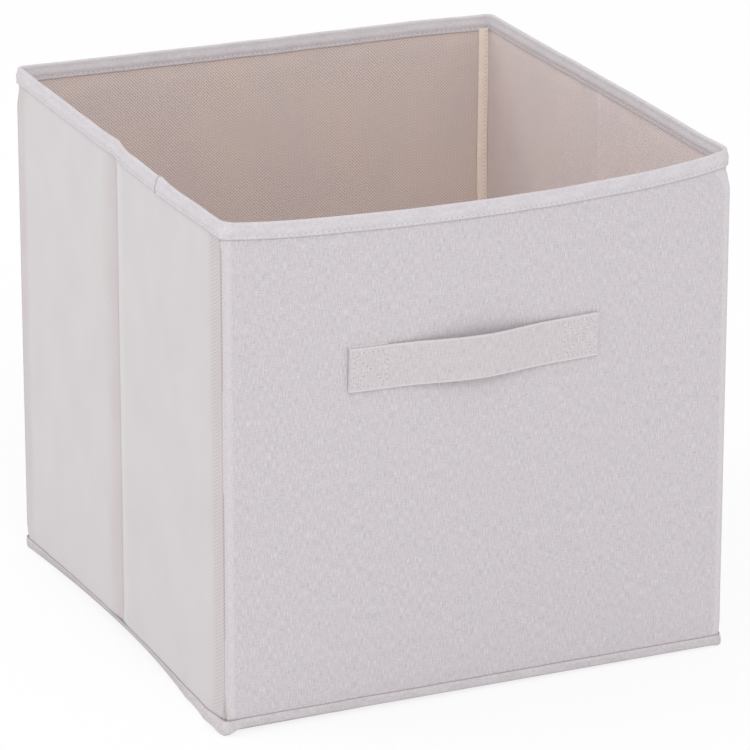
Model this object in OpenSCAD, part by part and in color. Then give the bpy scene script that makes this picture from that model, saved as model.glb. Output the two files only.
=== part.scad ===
// Foldable fabric storage box: cardboard-stiffened cloth walls, a strap handle and a loose base board.
// X runs across the front, Y from front to back, Z up. The origin is the centre of the underside.
// Both side walls are split at an upright crease and fold inwards, and the back then closes to the front.

/* [Box] */
// Width over the cloth of the two side walls
box_w = 310; // [310:1:400]
// Depth over the cloth of the front and back walls
box_d = 310; // [220:1:310]
// Height from the ground to the top of the rim
box_h = 300; // [180:1:380]

/* [Walls] */
// Thickness of the outer cloth
outer_cloth_t = 0.6; // [0.4:0.1:1]
// Thickness of the cardboard stiffeners
wall_board_t = 2.2; // [1.4:0.1:3]
// Thickness of the lining
lining_t = 0.5; // [0.3:0.1:1]
// Distance from the front and back boards' upright edges to the corners
panel_board_inset = 3; // [2:0.5:12]
// Distance from the side boards' edges to the corners
side_board_inset = 15; // [4:0.5:30]
// Distance from the side boards' edges to the crease
crease_board_inset = 3; // [1:0.5:10]
// Distance from the boards' top edges to the top of the cloth
board_top_inset = 2; // [1:0.5:8]

/* [Front bow] */
// How far the top edge of the front wall bows out at its middle
front_bow = 18; // [0:1:24]

/* [Rim binding] */
// Height of the binding tape on the faces of the walls
rim_h = 10; // [6:0.5:16]
// Thickness of the binding tape
rim_t = 0.9; // [0.6:0.1:1.2]
// Radius of the tape's rounded top edges
rim_round = 1.5; // [0.8:0.1:1.8]

/* [Bottom] */
// Height of the bound seam along the bottom edges
foot_h = 7; // [6.5:0.5:10]
// How far the bound seam stands proud of the walls
foot_proud = 0.6; // [0.3:0.1:1]
// Thickness of the bottom cloth
bottom_cloth_t = 0.8; // [0.5:0.1:1]

/* [Base board] */
// Thickness of the base board's cardboard core
base_core_t = 3; // [2:0.1:3.2]
// Thickness of the base board's cloth covers
base_cover_t = 0.5; // [0.3:0.1:0.6]
// Gap between the base board and the innermost face round it
base_board_gap = 1; // [0.6:0.1:4]
// How far the covers reach past the core
base_cover_overhang = 1; // [0.5:0.5:4]

/* [Corner tapes] */
// Width of the seam tape inside each upright corner
tape_w = 6.6; // [4:0.1:12]
// Thickness of the folded seam tape
tape_t = 1.2; // [0.6:0.1:1.2]

/* [Handle] */
// Length of the strap from end to end
strap_len = 152; // [120:1:200]
// Width of the strap
strap_w = 25; // [21:0.5:38]
// Thickness of one layer of the strap
strap_t = 1.1; // [0.8:0.1:1.6]
// Length of each sewn end
strap_end = 26; // [22:0.5:34]
// Length that is folded under at each end
strap_fold = 22; // [12:0.5:22]
// How far the strap bows away from the wall at its middle
strap_bow = 6.5; // [6:0.5:20]
// Distance from the top of the rim to the middle of the strap
strap_drop = 91; // [60:1:120]
// How far the middle of the strap lies to the right of the wall's middle, seen from the front
strap_shift = -9; // [-20:1:20]
// Side of the stitched squares
stitch_box = 21; // [12:0.5:21]
// Width of a line of stitches
stitch_w = 0.9; // [0.5:0.1:1.4]
// How far the thread stands proud of the strap
stitch_t = 0.3; // [0.2:0.1:0.5]
// Clearance under the sewn strap ends and under the thread
seat_gap = 0.3; // [0.2:0.05:0.4]

/* [Folding clearances] */
// Clearance between the rim bindings and the fold axes
fold_gap = 0.5; // [0.4:0.1:1]
// Clearance from each side half to the crease line
crease_gap = 0.5; // [0.4:0.1:1]
// Clearance between the folding walls and the bottom seam
foot_gap = 0.3; // [0.3:0.1:0.8]

/* [Hidden] */

front = -1;
back = 1;
left = -1;
right = 1;

linen = [0.80, 0.79, 0.79];
side_cloth = [0.83, 0.82, 0.82];
lining_cloth = [0.72, 0.66, 0.62];
tape_cloth = [0.85, 0.84, 0.85];
seam_cloth = [0.78, 0.71, 0.65];
strap_cloth = [0.84, 0.82, 0.81];
thread = [0.90, 0.89, 0.88];
cardboard = [0.62, 0.50, 0.37];

half_w = box_w / 2;
half_d = box_d / 2;
wall_t = outer_cloth_t + wall_board_t + lining_t;
wall_top = box_h - rim_t;
folding_wall_z = foot_h + foot_gap;
// Depth of a rim binding's inner face behind the outer face of its wall
rim_inner = wall_t + rim_t;
// The corner fold axes stand this far inside the outer faces, and each side half begins there
corner_axis_inset = rim_inner + fold_gap;
side_start = half_d - corner_axis_inset;
side_half_len = side_start - crease_gap;
half_board_len = side_half_len - side_board_inset - crease_board_inset + corner_axis_inset;
board_h = wall_top - board_top_inset;
// The base board clears the rim bindings and the corner tapes as it is lifted out
innermost = max(rim_inner, wall_t + tape_t);
base_half_w = half_w - innermost - base_board_gap;
base_half_d = half_d - innermost - base_board_gap;
base_z = bottom_cloth_t + foot_gap;
core_z = base_z + base_cover_t;
strap_z = box_h - strap_drop;
// Distance from the middle of the strap to the middle of each square of stitches
stitch_x = (strap_len - strap_fold) / 2;
// Distance from the middle of the strap to where each sewn end begins
strap_free = strap_len / 2 - strap_end;
strap_steps = 24;
fold_steps = 6;
// Columns and rows of flat facets in the bowed front wall
bow_columns = 16;
bow_rows = 6;
// The slabs that cut the front wall's inner and outer shapes reach this far past its ends
end_margin = 2;

// How far the front wall stands out of its plane: nothing at the foot and corners, most at the rim's middle
function bow(x, z) =
    front_bow * (1 - pow(2 * x / box_w, 2)) * (z - foot_h) / (box_h - foot_h);

// Two triangles on four corners, which are given clockwise as seen from outside
function quad(a, b, c, d) = [[a, b, c], [a, c, d]];

// Faces of a slab whose two layers are grids of points: the outer layer first, row by row upwards
function slab_faces(row, rows) =
    let (layer = row * rows, top = layer - row)
    concat(
        [for (j = [0 : rows - 2], i = [0 : row - 2]) let (p = j * row + i)
            each quad(p, p + row, p + row + 1, p + 1)],
        [for (j = [0 : rows - 2], i = [0 : row - 2]) let (p = layer + j * row + i)
            each quad(p, p + 1, p + row + 1, p + row)],
        [for (i = [0 : row - 2]) each quad(i, i + 1, i + layer + 1, i + layer)],
        [for (i = [top : layer - 2]) each quad(i, i + layer, i + layer + 1, i + 1)],
        [for (j = [0 : rows - 2]) let (p = j * row)
            each quad(p + layer, p + layer + row, p + row, p)],
        [for (j = [1 : rows - 1]) let (p = j * row - 1)
            each quad(p, p + row, p + layer + row, p + layer)]
    );

// Layer of the bowed front wall between two depths, with the same facets whatever its depths are
module bowed_slab(outer, inner, margin = 0) {
    columns = [for (i = [0 : bow_columns]) -half_w + box_w * i / bow_columns];
    xs = margin > 0 ? concat([-half_w - margin], columns, [half_w + margin]) : columns;
    zs = [for (j = [0 : bow_rows]) foot_h + (box_h - foot_h) * j / bow_rows];
    polyhedron(
        points = [for (d = [outer, inner], z = zs, x = xs) [x, -half_d + d - bow(x, z), z]],
        faces = slab_faces(len(xs), len(zs))
    );
}

// Part of such a layer, between two places across the front and two heights
module front_sheet(depth, thickness, x0, x1, bottom, top) {
    intersection() {
        bowed_slab(depth, depth + thickness);
        translate([x0, -box_d, bottom])
            cube([x1 - x0, box_d, top - bottom]);
    }
}

// A sheet of the front or back wall, from its outer depth inwards
module panel_sheet(end, depth, thickness, top, inset = 0) {
    if (end == front)
        front_sheet(depth, thickness, -half_w + inset, half_w - inset, foot_h, top);
    else
        translate([-half_w + inset, half_d - depth - thickness, folding_wall_z])
            cube([box_w - 2 * inset, thickness, top - folding_wall_z]);
}

// A sheet of a side half, from its start at the corner towards the crease
module side_sheet(side, end, depth, thickness, bottom, top, corner_inset, length) {
    x = side == left ? -half_w + depth : half_w - depth - thickness;
    near = half_d - corner_inset;
    y = end == front ? -near : near - length;
    translate([x, y, bottom])
        cube([thickness, length, top - bottom]);
}

// Section of the tape that wraps a top edge: X is across the wall, Y is up, and zero is the outer face
module rim_section() {
    outer_w = wall_t + 2 * rim_t;
    difference() {
        translate([-rim_t, 0])
            union() {
                square([outer_w, rim_h - rim_round]);
                translate([rim_round, 0])
                    square([outer_w - 2 * rim_round, rim_h]);
                for (x = [rim_round, outer_w - rim_round])
                    translate([x, rim_h - rim_round])
                        circle(r = rim_round, $fn = 32);
            }
        translate([0, -1])
            square([wall_t, rim_h - rim_t + 1]);
    }
}

module back_rim() {
    mirror([0, 1, 0])
        translate([-half_w, -half_d, box_h - rim_h])
            rotate([90, 0, 90])
                linear_extrude(height = box_w)
                    rim_section();
}

module front_rim() {
    difference() {
        front_sheet(-rim_t, wall_t + 2 * rim_t, -half_w, half_w, box_h - rim_h, box_h);
        intersection() {
            bowed_slab(0, wall_t, end_margin);
            translate([-box_w, -box_d, 0])
                cube([2 * box_w, box_d, wall_top]);
        }
    }
}

module side_rim(side, end) {
    mirror([side == right ? 1 : 0, 0, 0])
        translate([-half_w, end == front ? -crease_gap : side_start, box_h - rim_h])
            rotate([90, 0, 0])
                linear_extrude(height = side_half_len)
                    rim_section();
}

module panel_cloth(end) {
    color(linen)
        panel_sheet(end, 0, outer_cloth_t, wall_top);
}

module panel_board(end) {
    color(cardboard)
        panel_sheet(end, outer_cloth_t, wall_board_t, board_h, panel_board_inset);
}

module panel_lining(end) {
    color(lining_cloth)
        panel_sheet(end, wall_t - lining_t, lining_t, wall_top);
}

module panel_rim_binding(end) {
    color(tape_cloth)
        if (end == front)
            front_rim();
        else
            back_rim();
}

module corner_tape(side, end) {
    x = side == left ? -half_w + corner_axis_inset : half_w - corner_axis_inset - tape_w;
    top = box_h - rim_h;
    color(seam_cloth)
        if (end == front)
            front_sheet(wall_t, tape_t, x, x + tape_w, foot_h, top);
        else
            translate([x, half_d - wall_t - tape_t, folding_wall_z])
                cube([tape_w, tape_t, top - folding_wall_z]);
}

module side_cloth_half(side, end) {
    color(side_cloth)
        side_sheet(side, end, 0, outer_cloth_t, folding_wall_z, wall_top, corner_axis_inset, side_half_len);
}

module side_board_half(side, end) {
    color(cardboard)
        side_sheet(side, end, outer_cloth_t, wall_board_t, folding_wall_z, board_h,
            side_board_inset, half_board_len);
}

module side_lining_half(side, end) {
    color(lining_cloth)
        side_sheet(side, end, wall_t - lining_t, lining_t, folding_wall_z, wall_top,
            corner_axis_inset, side_half_len);
}

module side_rim_half(side, end) {
    color(tape_cloth)
        side_rim(side, end);
}

module bottom_cloth() {
    color(side_cloth)
        translate([-half_w + wall_t, -half_d + wall_t, 0])
            cube([box_w - 2 * wall_t, box_d - 2 * wall_t, bottom_cloth_t]);
}

// Bound seam along the foot of the front or back wall, which runs the whole width
module panel_foot(end) {
    y = end == front ? -half_d - foot_proud : half_d - wall_t;
    color(tape_cloth)
        translate([-half_w - foot_proud, y, 0])
            cube([box_w + 2 * foot_proud, wall_t + foot_proud, foot_h]);
}

// Bound seam along the foot of a side wall, between the front and back seams
module side_foot(side) {
    x = side == left ? -half_w - foot_proud : half_w - wall_t;
    color(tape_cloth)
        translate([x, -half_d + wall_t, 0])
            cube([wall_t + foot_proud, box_d - 2 * wall_t, foot_h]);
}

// How far the wall bows out behind the strap, at a distance x from the strap's middle
function bow_behind(x) = bow(strap_shift + x, strap_z);

// Slope of a flat sewn end away from the strap's middle, which meets the bow at both of its edges
function end_slope(side) =
    (bow_behind(side * strap_len / 2) - bow_behind(side * strap_free)) / strap_end;

// How far the strap's seat stands out of the wall's plane at a distance x from its middle
function seat(x) =
    let (side = x < 0 ? left : right, past = abs(x) - strap_free)
    seat_gap + (past > 0 ? bow_behind(side * strap_free) + end_slope(side) * past : bow_behind(x));

// Distance of the strap's seat, at a distance x from its middle, behind the origin of on_front_wall
function seat_inset(x) = (seat(-stitch_x) + seat(stitch_x)) / 2 - seat(x);

// Distance of the strap's back face from its seat, at a distance x from its middle
function strap_lift(x) =
    abs(x) >= strap_free ? strap_t : strap_t + strap_bow * (1 + cos(180 * x / strap_free)) / 2;

// Outline of the strap seen from above, as [x, distance from its seat]: one bowed layer with its ends
// folded under
function strap_outline() =
    let (
        half = strap_len / 2,
        fold = half - strap_fold,
        middle = [for (i = [0 : strap_steps]) -strap_free + 2 * strap_free * i / strap_steps],
        turn = [for (i = [0 : fold_steps]) 90 - 180 * i / fold_steps]
    )
    concat(
        [for (a = turn) [half + strap_t * cos(a), strap_t + strap_t * sin(a)]],
        [[fold, 0], [fold, strap_t]],
        [for (i = [strap_steps : -1 : 0]) [middle[i], strap_lift(middle[i])]],
        [[-fold, strap_t], [-fold, 0]],
        [for (a = turn) [-half - strap_t * cos(a), strap_t - strap_t * sin(a)]],
        [for (x = middle) [x, strap_lift(x) + strap_t]]
    );

// Puts what it holds at the strap's middle, and leans it like the bowed wall behind the sewn ends
module on_front_wall() {
    bow_at_rim = (bow(strap_shift - stitch_x, box_h) + bow(strap_shift + stitch_x, box_h)) / 2;
    slope = bow_at_rim / (box_h - foot_h);
    depth = half_d + (seat(-stitch_x) + seat(stitch_x)) / 2;
    translate([strap_shift, -depth, strap_z])
        rotate([atan(slope), 0, 0])
            children();
}

module handle_strap() {
    color(strap_cloth)
        on_front_wall()
            translate([0, 0, -strap_w / 2])
                linear_extrude(height = strap_w)
                    polygon([for (p = strap_outline()) [p.x, seat_inset(p.x) - p.y]]);
}

// Square of stitches with a cross in it, seen from the front
module stitch_lines() {
    inner = stitch_box - 2 * stitch_w;
    difference() {
        square(stitch_box, center = true);
        square(inner, center = true);
    }
    intersection() {
        square(stitch_box, center = true);
        for (turn = [45, -45])
            rotate(turn)
                square([2 * stitch_box, stitch_w], center = true);
    }
}

// Thread that holds one end of the strap
module handle_stitching(side) {
    color(thread)
        on_front_wall()
            translate([side * stitch_x, seat_inset(side * stitch_x) - 2 * strap_t - seat_gap, 0])
                rotate([90, 0, -side * atan(end_slope(side))])
                    linear_extrude(height = stitch_t)
                        stitch_lines();
}

module base_board_core() {
    color(cardboard)
        translate([-base_half_w + base_cover_overhang, -base_half_d + base_cover_overhang, core_z])
            cube([2 * (base_half_w - base_cover_overhang), 2 * (base_half_d - base_cover_overhang),
                base_core_t]);
}

module base_board_cover(bottom) {
    color(lining_cloth)
        translate([-base_half_w, -base_half_d, bottom])
            cube([2 * base_half_w, 2 * base_half_d, base_cover_t]);
}

panel_cloth(front);  // front_outer_cloth
panel_board(front);  // front_board
panel_lining(front);  // front_lining
panel_rim_binding(front);  // front_rim_binding
corner_tape(left, front);  // corner_tape_front_left
corner_tape(right, front);  // corner_tape_front_right
handle_strap();
handle_stitching(left);  // handle_stitching_left
handle_stitching(right);  // handle_stitching_right
bottom_cloth();
panel_foot(front);  // bottom_binding_front
panel_foot(back);  // bottom_binding_back
side_foot(left);  // bottom_binding_left
side_foot(right);  // bottom_binding_right
panel_cloth(back);  // back_outer_cloth
panel_board(back);  // back_board
panel_lining(back);  // back_lining
panel_rim_binding(back);  // back_rim_binding
corner_tape(left, back);  // corner_tape_back_left
corner_tape(right, back);  // corner_tape_back_right
side_cloth_half(left, front);  // left_front_outer_cloth
side_board_half(left, front);  // left_front_board
side_lining_half(left, front);  // left_front_lining
side_rim_half(left, front);  // left_front_rim_binding
side_cloth_half(left, back);  // left_rear_outer_cloth
side_board_half(left, back);  // left_rear_board
side_lining_half(left, back);  // left_rear_lining
side_rim_half(left, back);  // left_rear_rim_binding
side_cloth_half(right, front);  // right_front_outer_cloth
side_board_half(right, front);  // right_front_board
side_lining_half(right, front);  // right_front_lining
side_rim_half(right, front);  // right_front_rim_binding
side_cloth_half(right, back);  // right_rear_outer_cloth
side_board_half(right, back);  // right_rear_board
side_lining_half(right, back);  // right_rear_lining
side_rim_half(right, back);  // right_rear_rim_binding
base_board_core();
base_board_cover(core_z + base_core_t);  // base_board_cover_top
base_board_cover(base_z);  // base_board_cover_bottom
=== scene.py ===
"""Looks of a foldable fabric storage box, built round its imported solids.

X runs across the front, Y from front to back and Z up, all in metres. Every sheet of cloth starts
as a grid, and a function bends it to its place on a wall, round a corner or over a rim.
"""

import math

import bmesh
import bpy
from mathutils import Matrix, Vector, noise


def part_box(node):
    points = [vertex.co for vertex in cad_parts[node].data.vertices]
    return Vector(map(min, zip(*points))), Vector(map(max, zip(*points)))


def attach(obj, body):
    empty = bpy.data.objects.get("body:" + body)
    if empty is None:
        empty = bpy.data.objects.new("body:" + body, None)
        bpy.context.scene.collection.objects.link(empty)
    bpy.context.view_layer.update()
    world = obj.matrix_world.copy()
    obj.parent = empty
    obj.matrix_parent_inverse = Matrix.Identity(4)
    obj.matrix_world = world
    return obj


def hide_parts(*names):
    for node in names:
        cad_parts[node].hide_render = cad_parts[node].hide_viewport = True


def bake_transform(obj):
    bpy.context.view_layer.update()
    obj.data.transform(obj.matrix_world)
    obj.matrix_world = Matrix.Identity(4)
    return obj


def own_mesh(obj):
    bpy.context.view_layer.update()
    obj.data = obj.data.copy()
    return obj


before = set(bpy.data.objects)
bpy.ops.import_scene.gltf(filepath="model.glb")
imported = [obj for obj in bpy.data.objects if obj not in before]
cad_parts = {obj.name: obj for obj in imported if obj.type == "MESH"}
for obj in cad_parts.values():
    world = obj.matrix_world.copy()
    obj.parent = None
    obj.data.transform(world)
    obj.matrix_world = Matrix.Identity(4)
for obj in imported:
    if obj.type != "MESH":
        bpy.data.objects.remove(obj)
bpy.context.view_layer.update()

MM = 0.001

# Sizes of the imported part
HALF_W = -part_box("left_front_outer_cloth")[0][0]
HALF_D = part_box("back_outer_cloth")[1][1]
RIM_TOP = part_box("back_rim_binding")[1][2]
RIM_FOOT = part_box("back_rim_binding")[0][2]
SEAM_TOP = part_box("bottom_binding_front")[1][2]
BOARD_FOOT, BOARD_TOP = (corner[2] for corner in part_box("left_front_board"))
WALL = HALF_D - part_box("back_lining")[0][1]
CLOTH = HALF_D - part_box("back_board")[1][1]
BOARD_IN = HALF_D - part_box("back_board")[0][1]
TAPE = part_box("back_rim_binding")[1][1] - HALF_D
WALL_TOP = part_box("back_outer_cloth")[1][2]
BOARD_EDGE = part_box("left_front_board")[0][1] + HALF_D
BOARD_CREASE = -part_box("left_front_board")[1][1]
BOW_TOP = -HALF_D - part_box("front_outer_cloth")[0][1]
BOW = BOW_TOP * (RIM_TOP - SEAM_TOP) / (WALL_TOP - SEAM_TOP)
STRAP_LOW, STRAP_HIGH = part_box("handle_strap")
BASE_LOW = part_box("base_board_cover_bottom")[0]
BASE_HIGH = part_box("base_board_cover_top")[1]

FRONT = -1
BACK = 1
LEFT = -1
RIGHT = 1
END_NAME = {FRONT: "front", BACK: "back"}
SIDE_NAME = {LEFT: "left", RIGHT: "right"}

# How the cloth is divided along the walls
CORNER_RUN = 14 * MM
HALF_SPLIT = 75 * MM
CREASE_GAP = 0.05 * MM

# Radii of the upright corners in plan
CLOTH_ROUND = 2.2 * MM
RIM_ROUND = {
    (LEFT, FRONT): 9 * MM,
    (RIGHT, FRONT): 8 * MM,
    (LEFT, BACK): 5 * MM,
    (RIGHT, BACK): 6 * MM,
}
RIM_LOW_ROUND = {
    (LEFT, FRONT): 2.8 * MM,
    (RIGHT, FRONT): 8 * MM,
    (LEFT, BACK): 5.5 * MM,
    (RIGHT, BACK): 4 * MM,
}
LINING_ROUND = WALL + 2.4 * MM
FOOT_CORNER = 3.5 * MM

# The valley at each side crease: a long slope behind it and a short one in front
CREASE_DEPTH = 1.9 * MM
CREASE_REACH = {BACK: 20 * MM, FRONT: 12 * MM}

# Share of that depth which is left where the tapes hold the cloth
HELD_DIP = 0.45

# The foot of each side wall arches up and in, most a little behind its middle
ARCH_MIDDLE = 15 * MM
ARCH_REACH = {BACK: 145 * MM, FRONT: 112 * MM}
ARCH_RISE = 3.4 * MM
ARCH_TUCK = 7.2 * MM

# The foot of each side wall flares out near the front, with part of that in the cloth above the bottom tape
FLARE = {LEFT: 3.3 * MM, RIGHT: 0.4 * MM}
FLARE_PLACE = 14 * MM
FLARE_WIDTH = 22 * MM
CLOTH_FLARE = 0.4
CLOTH_FLARE_TOP = 28 * MM

# How the top edge rises and sags along each wall
FRONT_SAG = 1.6 * MM
FRONT_RIGHT_PEAK = 1.2 * MM
PEAK_WIDTH = 22 * MM
BACK_LEFT_RISE = 3.6 * MM
BACK_DROP = 0.8 * MM
BACK_SAG = 0.4 * MM
BACK_RIGHT_DROP = 1.4 * MM
LEFT_REAR_RISE = 1.7 * MM
LEFT_REAR_SLOPE = 1.1 * MM
LEFT_FRONT_SAG = 1.1 * MM
RIGHT_REAR_DROP = 2.2 * MM


def smooth(low, high, value):
    """Rises from 0 at low to 1 at high, with no corner at either end."""
    t = min(max((value - low) / (high - low), 0.0), 1.0)
    return t * t * (3 - 2 * t)


def bump(value, width):
    """1 at zero, falling away to nothing over a few widths on both sides."""
    return math.exp(-(value / width) ** 2)


def ripple(x, y, size, seed=0.0):
    """Smooth random waves from -1 to 1, about size across."""
    return noise.noise(Vector((x / size, y / size, seed)))


def bow(x, z):
    """How far the front wall stands out of its plane."""
    return BOW * max(0.0, 1 - (x / HALF_W) ** 2) * max(0.0, z - SEAM_TOP) / (RIM_TOP - SEAM_TOP)


def foot_arch(y):
    """Share of the arch along the foot of a side wall."""
    reach = ARCH_REACH[BACK if y > ARCH_MIDDLE else FRONT]
    return max(0.0, 1 - ((y - ARCH_MIDDLE) / reach) ** 2)


def foot_flare(x, y):
    """How far the foot of a side wall stands out near the front, most on the left."""
    return FLARE[LEFT if x < 0 else RIGHT] * bump(HALF_D + y - FLARE_PLACE, FLARE_WIDTH)


def cloth_flare(x, y, z):
    """The part of that flare which the cloth above the bottom tape takes up."""
    return CLOTH_FLARE * foot_flare(x, y) * (1 - smooth(SEAM_TOP + 1 * MM, SEAM_TOP + CLOTH_FLARE_TOP, z))


def crease_sink(y):
    """How far a side wall sinks in at its crease."""
    reach = CREASE_REACH[BACK if y > 0 else FRONT]
    return CREASE_DEPTH * max(0.0, 1 - abs(y) / reach) ** 1.6


def rim_lift(x, y):
    """How far the top edge stands above its plane. The front and the rear right sag, and the rear left
    stands highest."""
    across = x / HALF_W
    peak = FRONT_RIGHT_PEAK * bump(HALF_W - x, PEAK_WIDTH) * bump(HALF_D + y, PEAK_WIDTH)
    if y < CORNER_RUN - HALF_D:
        return FRONT_SAG * (min(1.0, abs(across)) ** 6 - 1) + peak
    if y > HALF_D - CORNER_RUN:
        rise = BACK_LEFT_RISE * max(0.0, 0.5 - across / 2) ** 1.2
        sag = BACK_SAG * max(0.0, 1 - across ** 2)
        return rise - BACK_DROP - sag - BACK_RIGHT_DROP * smooth(HALF_W - 60 * MM, HALF_W, x)
    if x < 0:
        rise = (LEFT_REAR_RISE + LEFT_REAR_SLOPE * max(0.0, y) / HALF_D) * smooth(-20 * MM, 2 * MM, y)
        return rise - LEFT_FRONT_SAG * bump(y + 80 * MM, 45 * MM)
    return peak - RIGHT_REAR_DROP * smooth(-60 * MM, HALF_D - CORNER_RUN, y)


def corner_length(radius):
    """Length of a quarter turn."""
    return radius * math.pi / 2


def end_point(end, x, z, inset):
    """Point of the front or back wall, inset from its outer face."""
    lean = bow(x, z) if end == FRONT else 0.0
    return Vector((x, end * (HALF_D + lean - inset), z))


def side_point(side, y, z, inset):
    """Point of a side wall, inset from its outer face."""
    return Vector((side * (HALF_W - inset), y, z))


def corner_point(side, end, share, z, inset, radius):
    """Point of an upright corner. share goes from 0 at the front or back wall to 1 at the side wall."""
    turn = share * math.pi / 2
    x = HALF_W - radius + (radius - inset) * math.sin(turn)
    y = HALF_D - radius + (radius - inset) * math.cos(turn)
    lean = bow(x, z) if end == FRONT else 0.0
    return Vector((side * x, end * (y + lean), z))


def end_wall_point(end, run, straight, arc, z, inset, radius):
    """Point of a sheet on the front or back wall that also wraps both of its corners. run is measured from
    the middle, straight of it lies on the wall at either side, and arc of cloth turns each corner."""
    past = abs(run) - straight
    if past > 0:
        side = LEFT if run < 0 else RIGHT
        return corner_point(side, end, min(1.0, past / arc), z, inset, radius)
    x = run * (HALF_W - radius) / straight
    return end_point(end, x, z, inset)


def new_object(name, mesh, material):
    """Object at the origin that takes over a bmesh."""
    data = bpy.data.meshes.new(name)
    mesh.to_mesh(data)
    mesh.free()
    for polygon in data.polygons:
        polygon.use_smooth = True
    piece = bpy.data.objects.new(name, data)
    bpy.context.collection.objects.link(piece)
    data.materials.append(material)
    return piece


def cloth_grid(name, columns, rows, place, pattern, material, thickness, outwards):
    """Sheet of cloth. place(across, up) gives the point for shares of the grid's two sides,
    pattern(across, up) the same spot on the flat cloth in metres, and outwards a direction that its face
    looks in."""
    mesh = bmesh.new()
    bmesh.ops.create_grid(mesh, x_segments=columns, y_segments=rows, size=0.5)
    layer = mesh.loops.layers.uv.new("cloth")
    for face in mesh.faces:
        for loop in face.loops:
            corner = loop.vert.co
            loop[layer].uv = pattern(corner.x + 0.5, corner.y + 0.5)
    for vert in mesh.verts:
        vert.co = place(vert.co.x + 0.5, vert.co.y + 0.5)
    for edge in mesh.edges:
        edge.smooth = not edge.is_boundary
    mesh.normal_update()
    facing = sum(face.normal.dot(outwards(face.calc_center_median())) for face in mesh.faces)
    if facing < 0:
        bmesh.ops.reverse_faces(mesh, faces=mesh.faces)
    piece = new_object(name, mesh, material)
    wall = piece.modifiers.new("thickness", "SOLIDIFY")
    wall.thickness = thickness
    wall.offset = -1
    wall.use_even_offset = True
    return piece


def rectangle(width, height, left=0.0):
    """Pattern of a plain rectangle of cloth."""
    def pattern(across, up):
        return (left + across * width, up * height)

    return pattern


def made_of(piece, slot, *nodes, flat=None, held=None):
    """Hides the imported nodes that a piece stands for. slot, what the piece is made of, and flat, how large
    a sheet was cut, are not used.
    """
    if nodes:
        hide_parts(*nodes)


def away_from_middle(point):
    """Outwards for a wall: away from the upright middle line, by the nearer wall."""
    if abs(point.x) / HALF_W > abs(point.y) / HALF_D:
        return Vector((math.copysign(1, point.x), 0, 0))
    return Vector((0, math.copysign(1, point.y), 0))


def towards_middle(point):
    """Inwards for a lining."""
    return -away_from_middle(point)


def always(x, y, z):
    """Direction that is the same for every point."""
    return lambda point: Vector((x, y, z))


FORWARDS = always(0, -1, 0)
UPWARDS = always(0, 0, 1)
DOWNWARDS = always(0, 0, -1)


def half_name(side, end):
    """Name of a half of a side wall, as the bodies and nodes have it."""
    return f"{SIDE_NAME[side]}_{'front' if end == FRONT else 'rear'}"


def hold_corner(piece, side, end):
    """Ties a piece at the rear right corner, the one left open, to the panel of its half. A piece at any
    other upright corner has its transform applied to its mesh."""
    half_panel = f"{half_name(side, end)}_panel"
    if (side, end) == (RIGHT, BACK):
        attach(piece, half_panel)
        return
    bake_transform(piece)


def hold_crease(piece):
    """Applies the transform of a piece at a side crease to its mesh."""
    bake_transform(piece)


def fold_up(piece):
    """Ties a piece of the bottom to the front panel, with a mesh of its own."""
    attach(piece, "front_panel")
    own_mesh(piece)


# Shader maths


def maths(operation, swapped=False):
    """Method that adds a Math node for a number and what it meets, in this order or swapped."""
    def method(number, other=0.0):
        pair = (other, number) if swapped else (number, other)
        node = number.finish.node("ShaderNodeMath", {"operation": operation}, *pair)
        return Number(number.finish, node.outputs[0])

    return method


class Number:
    """A shader socket that holds a number, so that plain arithmetic adds Math nodes."""

    def __init__(self, finish, socket):
        self.finish = finish
        self.socket = socket

    __add__ = maths("ADD")
    __radd__ = maths("ADD", swapped=True)
    __sub__ = maths("SUBTRACT")
    __rsub__ = maths("SUBTRACT", swapped=True)
    __mul__ = maths("MULTIPLY")
    __rmul__ = maths("MULTIPLY", swapped=True)
    __truediv__ = maths("DIVIDE")
    __abs__ = maths("ABSOLUTE")


CLOTH_SPECULAR = 0.25
SHEEN_ROUGHNESS = 0.6


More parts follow.
